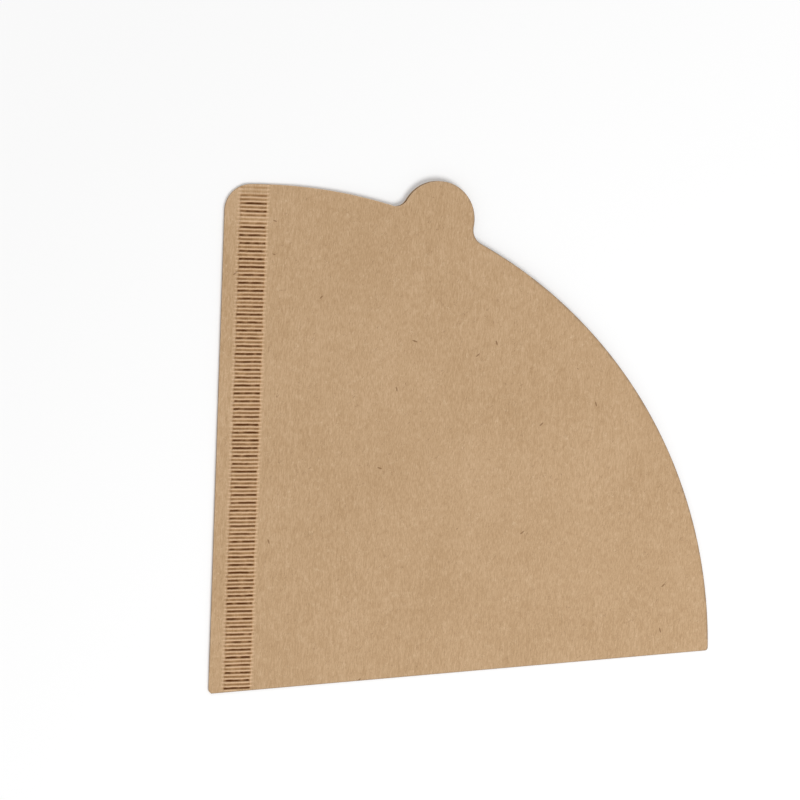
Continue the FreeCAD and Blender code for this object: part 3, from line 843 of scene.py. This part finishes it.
def makePaperFinish():
    material, tree = newFinish("unbleachedPaper")
    look = paperLook
    place = addNode(tree, "ShaderNodeTexCoord").outputs["Object"]
    turn = quarterTurn - lean

    # streaks, pulp clouds, broad unevenness and fine tooth
    layers = {}
    tone = 0.5
    for name, (waves, detail, rough, weight) in look["grain"].items():
        layers[name] = noise(tree, scaled(tree, place, waves, turn), 1.0, detail, rough)
        tone = plus(tree, tone, centred(tree, layers[name], weight))
    strokePlace = scaled(tree, place, look["strokeWaves"], turn + look["strokeTurn"])
    onTop = noise(tree, strokePlace, 1.0, 1.0)
    for start, full, weight in look["strokes"]:
        tone = plus(tree, tone, ease(tree, onTop, start, full, 0.0, weight))
    ramp = addNode(tree, "ShaderNodeValToRGB")
    tree.links.new(tone, ramp.inputs[0])
    stops = ramp.color_ramp.elements
    stops[0].position, stops[1].position = look["toneSpan"]
    stops[0].color, stops[1].color = look["dark"], look["light"]
    stops.new(0.5).color = look["plain"]
    colour = ramp.outputs[0]

    for name, waves, ownTurn, width, pieceWaves, pieceTurn, span in look["fibres"]:
        bent = noise(tree, scaled(tree, place, waves, turn + ownTurn), 1.0, 1.0)
        fromContour = calc(tree, "ABSOLUTE", minus(tree, bent, 0.5))
        contour = calc(tree, "LESS_THAN", fromContour, width)
        pieces = noise(tree, scaled(tree, place, pieceWaves, pieceTurn), 1.0, 0.0)
        share = times(tree, contour, ease(tree, pieces, *span, 0.0, look["fibreShare"]))
        colour = mixColour(tree, share, colour, look[name])

    for ownTurn, waves, largest in look["specks"]:
        cells = addNode(tree, "ShaderNodeTexVoronoi", feature="F1", voronoi_dimensions="2D")
        tree.links.new(scaled(tree, place, waves, ownTurn), cells.inputs["Vector"])
        cells.inputs["Scale"].default_value = 1.0
        pick = addNode(tree, "ShaderNodeSeparateColor")
        tree.links.new(cells.outputs["Color"], pick.inputs[0])
        chosen = calc(tree, "GREATER_THAN", pick.outputs[0], look["speckChosenOver"])
        smallest = look["speckSmallest"] * largest
        size = times(tree, chosen, ease(tree, pick.outputs[1], 0.0, 1.0, smallest, largest))
        inSpeck = calc(tree, "LESS_THAN", cells.outputs["Distance"], size)
        share = times(tree, inSpeck, look["speckShare"])
        colour = mixColour(tree, share, colour, look["barkSpeck"])

    # painted highlight on the ridges; in the creases and their warm flanks, painted shade in the
    # grooves over the pressed paper's darker tone
    pressed = times(tree, attribute(tree, "valley"), look["creaseGain"])
    valley = calc(tree, "MINIMUM", pressed, 1.0)
    flank = ease(tree, valley, *look["flankSpan"], 0.0, look["flankShare"])
    # from the seam to the tab the cut edge gets lighter fibres with a painted highlight; along the
    # rest of the mouth a painted line of shade
    edge = calc(tree, "POWER", attribute(tree, "cutEdge"), look["edgePower"])
    nearSeam = easeMm(tree, attribute(tree, "outOfSeam"), look["seamEdgeSpan"])
    # painted shade along the bend round the fold
    fromMiddle = minus(tree, times(tree, attribute(tree, "topShare"), 2.0), 1.0)
    bent = ease(tree, minus(tree, 1.0, calc(tree, "ABSOLUTE", fromMiddle)), *look["foldSpan"])
    # laid on in turn: painted highlight on the ridges, painted shade in the creases, lighter fibres
    # with painted highlight and painted shade on the cut edges, painted shade round the fold
    for share, name in (
            (times(tree, attribute(tree, "ridge"), look["ridgeShare"]), "ridgePaintedHighlight"),
            (flank, "creaseFlank"),
            (times(tree, valley, look["creaseShare"]), "creaseShade"),
            (times(tree, edge, nearSeam, look["seamEdgeShare"]), "cutFibresAndHighlight"),
            (times(tree, edge, minus(tree, 1.0, nearSeam), look["mouthEdgeShare"]), "cutShade"),
            (times(tree, bent, look["foldShare"]), "cutShade")):
        colour = mixColour(tree, share, colour, look[name])

    shader = addNode(tree, "ShaderNodeBsdfPrincipled")
    tree.links.new(colour, shader.inputs["Base Color"])
    rough = plus(tree, look["roughness"], centred(tree, layers["tooth"], look["toothRoughness"]))
    tree.links.new(rough, shader.inputs["Roughness"])
    shader.inputs["Specular IOR Level"].default_value = look["specular"]
    heights = [times(tree, layers[name], weight) for name, weight in look["relief"].items()]
    bump = addNode(tree, "ShaderNodeBump")
    tree.links.new(plus(tree, *heights), bump.inputs["Height"])
    bump.inputs["Strength"].default_value = look["bumpStrength"]
    bump.inputs["Distance"].default_value = look["bumpHeight"] * mm
    tree.links.new(bump.outputs[0], shader.inputs["Normal"])
    result = addNode(tree, "ShaderNodeOutputMaterial")
    tree.links.new(shader.outputs[0], result.inputs[0])
    print("paper finish,", len(tree.nodes), "nodes")
    return material


def makeFilter(finish):
    source = addObject("sheetSource", buildSheet())
    modifier = source.modifiers.new("pressFilter", "NODES")
    modifier.node_group = makePressingTree()
    setInputs(modifier, {**pressing, "Finish": finish})
    piece = bakeNodes(source, "filterPaper")
    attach(piece, "root")
    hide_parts("filter_paper")
    print("filter pressed,", len(piece.data.polygons), "faces")


# the pale floor, which turns to plain white away from the filter
floorLook = {
    "size": 6.0,
    "below": 0.01,               # under the filter, in millimetres
    "colour": (0.93, 0.93, 0.93, 1),
    "cameraLift": 0.09,
    "whiteFrom": 0.09,
    "whiteBy": 0.3,
}


def makeFloor():
    mesh = bpy.data.meshes.new("floor")
    half, low = floorLook["size"] / 2, -floorLook["below"] * mm
    corners = [(-half, -half, low), (half, -half, low), (half, half, low), (-half, half, low)]
    mesh.from_pydata(corners, [], [(0, 1, 2, 3)])
    material, tree = newFinish("paleFloor")
    plain = addNode(tree, "ShaderNodeBsdfDiffuse")
    plain.inputs["Color"].default_value = floorLook["colour"]
    glow = addNode(tree, "ShaderNodeEmission")
    seen = addNode(tree, "ShaderNodeLightPath").outputs["Is Camera Ray"]
    tree.links.new(times(tree, seen, floorLook["cameraLift"]), glow.inputs["Strength"])
    both = addNode(tree, "ShaderNodeAddShader")
    tree.links.new(plain.outputs[0], both.inputs[0])
    tree.links.new(glow.outputs[0], both.inputs[1])
    white = addNode(tree, "ShaderNodeEmission")
    away = addNode(tree, "ShaderNodeVectorMath", operation="LENGTH")
    tree.links.new(addNode(tree, "ShaderNodeTexCoord").outputs["Object"], away.inputs[0])
    share = ease(tree, away.outputs["Value"], floorLook["whiteFrom"], floorLook["whiteBy"])
    surface = mixShader(tree, times(tree, share, seen), both.outputs[0], white.outputs[0])
    result = addNode(tree, "ShaderNodeOutputMaterial")
    tree.links.new(surface, result.inputs[0])
    mesh.materials.append(material)
    floor = addObject("floor", mesh)
    print("floor laid,", floorLook["size"], "metres wide")


studio = {
    "worldStrength": 0.5,
    "lamps": {
        # place, size and power: a soft window on the lower right, a weaker one above the mouth
        "keyLamp": ((0.30, -0.50, 0.86), 0.6, 6.05),
        "fillLamp": ((-0.15, 0.8, 0.95), 0.9, 1.3),
    },
}


def makeStudio():
    world = bpy.data.worlds.new("studioWorld")
    bpy.context.scene.world = world
    world.use_nodes = True
    tree = world.node_tree
    tree.nodes.clear()
    soft = addNode(tree, "ShaderNodeBackground")
    soft.inputs["Strength"].default_value = studio["worldStrength"]
    white = addNode(tree, "ShaderNodeBackground")
    seen = addNode(tree, "ShaderNodeLightPath").outputs["Is Camera Ray"]
    for background in (soft, white):
        background.inputs["Color"].default_value = (1, 1, 1, 1)
    result = addNode(tree, "ShaderNodeOutputWorld")
    around = mixShader(tree, seen, soft.outputs[0], white.outputs[0])
    tree.links.new(around, result.inputs[0])
    for name, (place, size, power) in studio["lamps"].items():
        lamp = bpy.data.lights.new(name, "AREA")
        lamp.shape = "DISK"
        lamp.size = size
        lamp.energy = power
        holder = addObject(name, lamp)
        holder.location = place
        holder.rotation_euler = (-Vector(place)).to_track_quat("-Z", "Y").to_euler()
        print("lamp set,", name)


# the camera stands over the seam's side and looks down on the flat sheet through a long lens
cameraPlace = {
    "right": (0.946511, -0.008780, 0.322551),
    "up": (0.047529, 0.992520, -0.112453),
    "back": (-0.319151, 0.121768, 0.939848),
    "location": (-0.20406, 0.07924, 0.55335),
    "lens": 112.5,
    "sensor": 36,
    "near": 0.01,
    "far": 20,
}


def makeCamera():
    data = bpy.data.cameras.new("frontCamera")
    data.sensor_fit = "HORIZONTAL"
    data.sensor_width = cameraPlace["sensor"]
    data.lens = cameraPlace["lens"]
    data.clip_start = cameraPlace["near"]
    data.clip_end = cameraPlace["far"]
    camera = addObject("frontCamera", data)
    axes = Matrix([cameraPlace[name] for name in ("right", "up", "back")]).transposed()
    camera.matrix_world = Matrix.Translation(cameraPlace["location"]) @ axes.to_4x4()
    bpy.context.scene.camera = camera
    print("camera set at", cameraPlace["location"])


makeFilter(makePaperFinish())
makeFloor()
makeStudio()
makeCamera()
bpy.context.scene.view_settings.view_transform = "Standard"
